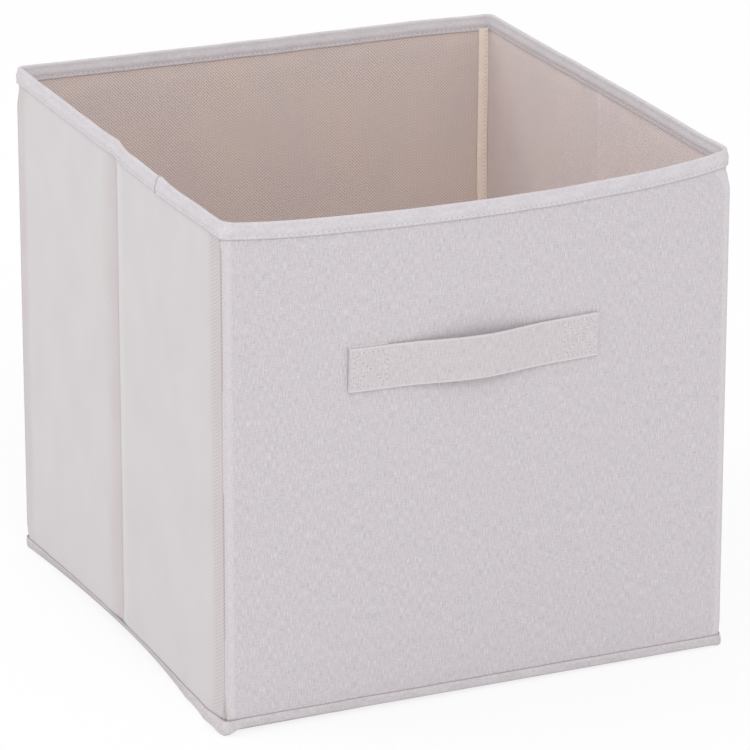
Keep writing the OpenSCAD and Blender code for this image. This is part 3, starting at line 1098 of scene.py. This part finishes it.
def foot_edges(x, y):
    """Heights of the bottom tape's lower and upper edges. Both are lifted along the front, most at the
    left."""
    front = 1 - smooth(4 * MM - HALF_D, 30 * MM - HALF_D, y)
    top_lift, low_lift = ((middle - slope * x / HALF_W) * front for middle, slope in (TOP_LIFT, LOW_LIFT))
    wave = 0.3 * MM * ripple(x, y, 30 * MM, 12.0)
    top = FOOT_TOP + top_lift + wave + ARCH_RISE * foot_arch(y) * beside_wall(x)
    return FOOT_LOW + low_lift * (1 - foot_ear(x, y)), top


def foot_section(across, x, y):
    """Inset and height of a point of the bottom tape over the place (x, y), from its outer top edge down and
    round to its inner side."""
    low, top = foot_edges(x, y)
    leg = FOOT_WIDTH - math.pi * FOOT_ROUND - FOOT_INNER_LEG
    centre = FOOT_ROUND - FOOT_PROUD
    if across < leg:
        z = top - (top - low - FOOT_ROUND) * across / leg
        inset = -FOOT_PROUD * (0.35 + 0.65 * smooth(0.0, 2.5 * MM, across))
    elif across > leg + math.pi * FOOT_ROUND:
        z = low + FOOT_ROUND + across - leg - math.pi * FOOT_ROUND
        inset = centre + FOOT_ROUND
    else:
        angle = (across - leg) / FOOT_ROUND
        z = low + FOOT_ROUND - FOOT_ROUND * math.sin(angle)
        inset = centre - FOOT_ROUND * math.cos(angle)
    hang = 1 - min(1.0, (z - low) / (top - low))
    flare = foot_flare(x, y) * bump(HALF_W - abs(x), 7 * MM) * (CLOTH_FLARE + (1 - CLOTH_FLARE) * hang)
    return inset + hang * ARCH_TUCK * foot_arch(y) * beside_wall(x) - flare, z


def foot_length(name, start, stop, place, width):
    """Length of bottom tape. width, the cut width of the tape, which is wider for the side ones for the
    arch, is not used.
    """
    columns = max(4, round((stop - start) / (2 * MM)))

    def at(across, up):
        return place(start + across * (stop - start), up * FOOT_WIDTH)

    pattern = rectangle(stop - start, FOOT_WIDTH, left=start)
    piece = cloth_grid(f"{name}_bottom_tape", columns, 24, at, pattern, FOOT_BINDING, TAPE_CLOTH, DOWNWARDS)
    made_of(piece, "binding_tape", f"bottom_binding_{name}", flat=(stop - start, width), held="folded")
    return piece


def feet():
    """Bottom tape all round. The front and back lengths also turn the corners."""
    straight = HALF_W - FOOT_CORNER
    arc = corner_length(FOOT_CORNER)
    for end in (FRONT, BACK):
        def place(run, across, end=end):
            share = min(max((abs(run) - straight) / arc, 0.0), 1.0)
            y = end * (HALF_D - FOOT_CORNER * (1 - math.cos(share * math.pi / 2)))
            inset, z = foot_section(across, min(max(run, -HALF_W), HALF_W), y)
            return end_wall_point(end, run, straight, arc, z, inset, FOOT_CORNER)

        name = END_NAME[end]
        piece = foot_length(name, -straight - arc, straight + arc, place, FOOT_WIDTH)
        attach(piece, f"{name}_panel")
    for side in (LEFT, RIGHT):
        def place(run, across, side=side):
            inset, z = foot_section(across, side * HALF_W, run)
            return side_point(side, run, z, inset)

        length = HALF_D - FOOT_CORNER
        fold_up(foot_length(SIDE_NAME[side], -length, length, place, SIDE_FOOT_WIDTH))


def underside():
    """Bottom cloth, slightly slack, whose edges lie inside the bottom tape all round."""
    low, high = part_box("bottom_cloth")
    thickness = high[2] - low[2]
    in_tape = 1.2 * MM
    half_w = HALF_W - in_tape
    half_d = HALF_D - in_tape
    front_slope = 4.5 * MM
    above_floor = 0.35 * MM

    def place(across, up):
        y = (up * 2 - 1) * half_d
        x = (across * 2 - 1) * (half_w - ARCH_TUCK * foot_arch(y))
        edge = foot_edges(x, -HALF_D)[0] - FOOT_LOW
        raised_edge = edge * max(0.0, 1 - (y + half_d) / front_slope)
        slack = 0.1 * MM * (1 + ripple(x, y, 55 * MM, 20.0))
        return Vector((x, y, low[2] + above_floor + slack + raised_edge))

    flat = (2 * half_w, 2 * half_d)
    piece = cloth_grid(
        "bottom_sheet", 60, 120, place, rectangle(*flat), BOTTOM_CLOTH, thickness / 2, DOWNWARDS)
    made_of(piece, "side_cloth", "bottom_cloth", flat=flat, held="stretched")
    fold_up(piece)


# Strap handle

STRAP_MIDDLE = (STRAP_LOW[0] + STRAP_HIGH[0]) / 2
STRAP_Z = (STRAP_LOW[2] + STRAP_HIGH[2]) / 2
STRAP_T = 1.1 * MM
STRAP_W = STRAP_HIGH[2] - STRAP_LOW[2]
STRAP_END = (STRAP_HIGH[0] - STRAP_LOW[0]) / 2 - STRAP_T - 1 * MM
STRAP_SEWN = 26 * MM
STRAP_FOLD = 22 * MM
STRAP_FREE = STRAP_END - STRAP_SEWN
STRAP_BOW = 5.0 * MM
STRAP_SEAT = 0.3 * MM
STRAP_SLACK = 0.3 * MM

# How far the end that is turned under peeks out above the strap's edge, or below it where negative
STRAP_PEEK = {LEFT: 1.1 * MM, RIGHT: -0.7 * MM}


def strap_point(x, up, off):
    """Point of the strap: x is measured from its middle, up from its middle line, and off from its back."""
    lift = STRAP_SEAT + STRAP_T
    if abs(x) < STRAP_FREE:
        lift += STRAP_BOW * (1 + math.cos(math.pi * x / STRAP_FREE)) / 2
    slack = STRAP_SLACK * ripple(x, up, 24 * MM, 30.0) * smooth(STRAP_END, STRAP_FREE - 10 * MM, abs(x))
    return end_point(FRONT, STRAP_MIDDLE + x, STRAP_Z + up, -(lift + off + slack))


def strap():
    """Strap of one layer with its ends turned under, in one run from one hidden end to the other."""
    turn = math.pi * STRAP_T
    half = STRAP_END + turn + STRAP_FOLD

    def place(across, up):
        run = (across * 2 - 1) * half
        side = LEFT if run < 0 else RIGHT
        past = abs(run) - STRAP_END
        height = (up - 0.5) * STRAP_W
        if past <= 0:
            return strap_point(run, height, STRAP_T)
        peek = STRAP_PEEK[side]
        if past < turn:
            angle = math.pi * past / turn
            x = side * (STRAP_END + STRAP_T * math.sin(angle))
            return strap_point(x, height + peek * past / turn, STRAP_T * math.cos(angle))
        x = STRAP_MIDDLE + side * (STRAP_END - (past - turn))
        return end_point(FRONT, x, STRAP_Z + height + peek, -STRAP_SEAT)

    pattern = rectangle(2 * half, STRAP_W, left=-half)
    piece = cloth_grid("strap_handle", 170, 22, place, pattern, STRAP_LINEN, STRAP_T * 0.85, FORWARDS)
    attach(piece, "front_panel")
    made_of(piece, "strap_cloth", "handle_strap", flat=(2 * half, STRAP_W), held="folded")


def strap_stitches(side):
    """Square of stitches with a cross in it at one end of the strap."""
    middle = side * (STRAP_END - STRAP_FOLD / 2 - 0.5 * MM)
    reach = 9.6 * MM
    tall = 10.0 * MM
    pitch = 2.7 * MM
    corners = [(-reach, -tall), (reach, -tall), (reach, tall), (-reach, tall)]
    lines = list(zip(corners, corners[1:] + corners[:1]))
    lines += [(corners[0], corners[2]), (corners[1], corners[3])]
    rows = []
    for first, second in lines:
        first, second = Vector(first), Vector(second)

        def at(run, first=first, way=(second - first).normalized()):
            spot = first + way * run
            return strap_point(middle + spot.x, spot.y, STRAP_T), Vector((0, -1, 0))

        rows.append((at, 0.0, (second - first).length))

    def hold(piece):
        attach(piece, "front_panel")
        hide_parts(f"handle_stitching_{SIDE_NAME[side]}")

    sewn(f"strap_{SIDE_NAME[side]}", rows, pitch, hold)


# Seam tapes inside the upright corners

# Seam tape tones: light and dark of its weave, and the colour of the painted shade along its lower edge.
SEAM_TAPE_TONES = srgb(254, 243, 230), srgb(246, 229, 214), srgb(229, 211, 196)
SEAM_THREAD = yarn("seam_thread", srgb(254, 253, 250), srgb(246, 242, 236))
SEAM_BINDING = binding("seam_binding", *SEAM_TAPE_TONES, 1.0)


def seam_tape(side, end):
    """Folded tape over a corner seam, held by a row of stitches near its free edge."""
    low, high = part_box(f"corner_tape_{END_NAME[end]}_{SIDE_NAME[side]}")
    width = high[0] - low[0]
    corner_x = low[0] if side == LEFT else high[0]
    bottom = low[2]
    height = high[2] - bottom
    layer = 0.3 * MM
    lying = 1.0 * MM
    crown = 0.6 * MM
    pinch = 0.35 * MM
    stitch_share = 0.28

    def at(share, off, z):
        wander = 0.5 * MM * ripple(z, 0.0, 60 * MM, 40.0 + side + 2 * end)
        return end_point(end, corner_x - side * share * width + wander, z, WALL + off)

    def top_off(share):
        crowned = crown * math.sin(math.pi * min(max(share, 0.0), 1.0))
        return lying + crowned - pinch * bump(share - stitch_share, 0.12)

    def place(across, up):
        share = 1 - abs(across * 2 - 1)
        over = smooth(0.42, 0.58, across)
        return at(share, layer * (1 - over) + top_off(share) * over, bottom + up * height)

    def outwards(point):
        return point - end_point(end, point.x, point.z, WALL + 0.8 * MM)

    def stitch_at(run):
        return at(stitch_share, top_off(stitch_share), bottom + run), Vector((0, -end, 0))

    def hold(piece):
        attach(piece, f"{END_NAME[end]}_panel")

    name = f"seam_tape_{END_NAME[end]}_{SIDE_NAME[side]}"
    flat = (2 * width, height)
    piece = cloth_grid(name, 24, 90, place, rectangle(*flat), SEAM_BINDING, layer, outwards)
    hold(piece)
    made_of(piece, "seam_tape", f"corner_tape_{END_NAME[end]}_{SIDE_NAME[side]}", flat=flat, held="folded")
    sewn(name, [(stitch_at, 0.0, height)], pitch=2.6 * MM, hold=hold,
         thick=1.1 * MM, tall=0.5 * MM, yarn_used=SEAM_THREAD, hole=0.25 * MM)


# Base board


def base_board():
    """Cloth sleeve of the loose base board, rounded over its edges."""
    edge_round = 1.2 * MM
    unevenness = 0.2 * MM
    mesh = bmesh.new()
    size = [BASE_HIGH[axis] - BASE_LOW[axis] for axis in range(3)]
    centre = [(BASE_HIGH[axis] + BASE_LOW[axis]) / 2 for axis in range(3)]
    placed = Matrix.Translation(centre) @ Matrix.Diagonal((*size, 1.0))
    bmesh.ops.create_cube(mesh, size=1.0, matrix=placed)
    bmesh.ops.bevel(
        mesh, geom=mesh.edges[:], offset=edge_round, segments=3, profile=0.5, affect="EDGES", material=-1)
    long_edges = [edge for edge in mesh.edges if edge.calc_length() > 50 * MM]
    bmesh.ops.subdivide_edges(mesh, edges=long_edges, cuts=24, use_grid_fill=True)
    layer = mesh.loops.layers.uv.new("cloth")
    for face in mesh.faces:
        for loop in face.loops:
            loop[layer].uv = (loop.vert.co.x + 2 * HALF_W, loop.vert.co.y)
    for vert in mesh.verts:
        edge = min(HALF_W - abs(vert.co.x), HALF_D - abs(vert.co.y))
        if vert.co.z > centre[2] and edge > 8 * MM:
            vert.co.z += unevenness * ripple(vert.co.x, vert.co.y, 45 * MM, 50.0)
    piece = new_object("base_board_sleeve", mesh, LINING_FLEECE)
    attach(piece, "base_board")
    made_of(piece, "lining_cloth", "base_board_cover_top", "base_board_cover_bottom")


for which in (FRONT, BACK):
    wall_cloth(which)
    wall_board(which)
    wall_lining(which)
for which in (LEFT, RIGHT):
    side_cloths(which)
    side_boards(which)
    side_linings(which)
    strap_stitches(which)
    for corner in (FRONT, BACK):
        seam_tape(which, corner)
rims()
tape_join()
feet()
underside()
strap()
base_board()

# The base board's core keeps its solid
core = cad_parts["base_board_core"]
core.data.materials.clear()
core.data.materials.append(BOARD)


# Camera, floor and light

PICTURE = 750
FOCAL_PX = 5400
AZIMUTH = math.radians(-24.48)
ELEVATION = math.radians(20.15)
DISTANCE = 3.147
TARGET = Vector((6.19 * MM, 0.0, 137.4 * MM))

camera_data = bpy.data.cameras.new("camera")
camera_data.sensor_width = 36
camera_data.lens = FOCAL_PX / PICTURE * camera_data.sensor_width
camera_data.clip_end = 50
camera = bpy.data.objects.new("camera", camera_data)
bpy.context.collection.objects.link(camera)
towards = Vector((
    math.sin(AZIMUTH) * math.cos(ELEVATION),
    -math.cos(AZIMUTH) * math.cos(ELEVATION),
    math.sin(ELEVATION),
))
camera.location = TARGET + DISTANCE * towards
camera.rotation_euler = towards.to_track_quat("Z", "Y").to_euler()
bpy.context.scene.camera = camera


def floor():
    """Pale floor that is white to the camera, apart from the object's shadow."""
    half_width = 6
    tone = 0.86
    glow_strength = 1.03
    glow_share = 0.8
    mesh = bmesh.new()
    bmesh.ops.create_grid(mesh, x_segments=2, y_segments=2, size=half_width)
    finish = Finish("pale_floor", roughness=0.9)
    finish.set("Base Color", (tone, tone, tone, 1))
    finish.set("Specular IOR Level", 0.0)
    rays = finish.node("ShaderNodeLightPath", {})
    glow = finish.node("ShaderNodeEmission", {}, Color=(1, 1, 1, 1), Strength=glow_strength)
    share = Number(finish, rays.outputs["Is Camera Ray"]) * glow_share
    mixed = finish.node("ShaderNodeMixShader", {}, share, finish.shader.outputs[0], glow.outputs[0])
    finish.links.new(mixed.outputs[0], finish.nodes["Material Output"].inputs["Surface"])
    new_object("floor", mesh, finish.material)


def room():
    """Pale room that is white to the camera."""
    brightness = 0.82
    world = bpy.data.worlds.new("room")
    bpy.context.scene.world = world
    world.use_nodes = True
    nodes, links = world.node_tree.nodes, world.node_tree.links
    nodes["Background"].inputs["Color"].default_value = (1, 1, 1, 1)
    nodes["Background"].inputs["Strength"].default_value = brightness
    white = nodes.new("ShaderNodeBackground")
    rays = nodes.new("ShaderNodeLightPath")
    mixed = nodes.new("ShaderNodeMixShader")
    links.new(rays.outputs["Is Camera Ray"], mixed.inputs[0])
    links.new(nodes["Background"].outputs[0], mixed.inputs[1])
    links.new(white.outputs[0], mixed.inputs[2])
    links.new(mixed.outputs[0], nodes["World Output"].inputs["Surface"])


def soft_lamp(name, place, energy, size):
    """Round area lamp that looks at the middle of the object."""
    middle = Vector((0, 0, RIM_TOP / 2))
    lamp = bpy.data.lights.new(name, "AREA")
    lamp.shape = "DISK"
    lamp.size = size
    lamp.energy = energy
    holder = bpy.data.objects.new(name, lamp)
    holder.location = place
    holder.rotation_euler = (holder.location - middle).to_track_quat("Z", "Y").to_euler()
    bpy.context.collection.objects.link(holder)


floor()
room()
soft_lamp("key_lamp", place=(-2.2, 0.9, 2.2), energy=14, size=1.6)
soft_lamp("fill_lamp", place=(-0.9, -4.4, 4.0), energy=74, size=3.2)
bpy.context.scene.view_settings.view_transform = "Standard"
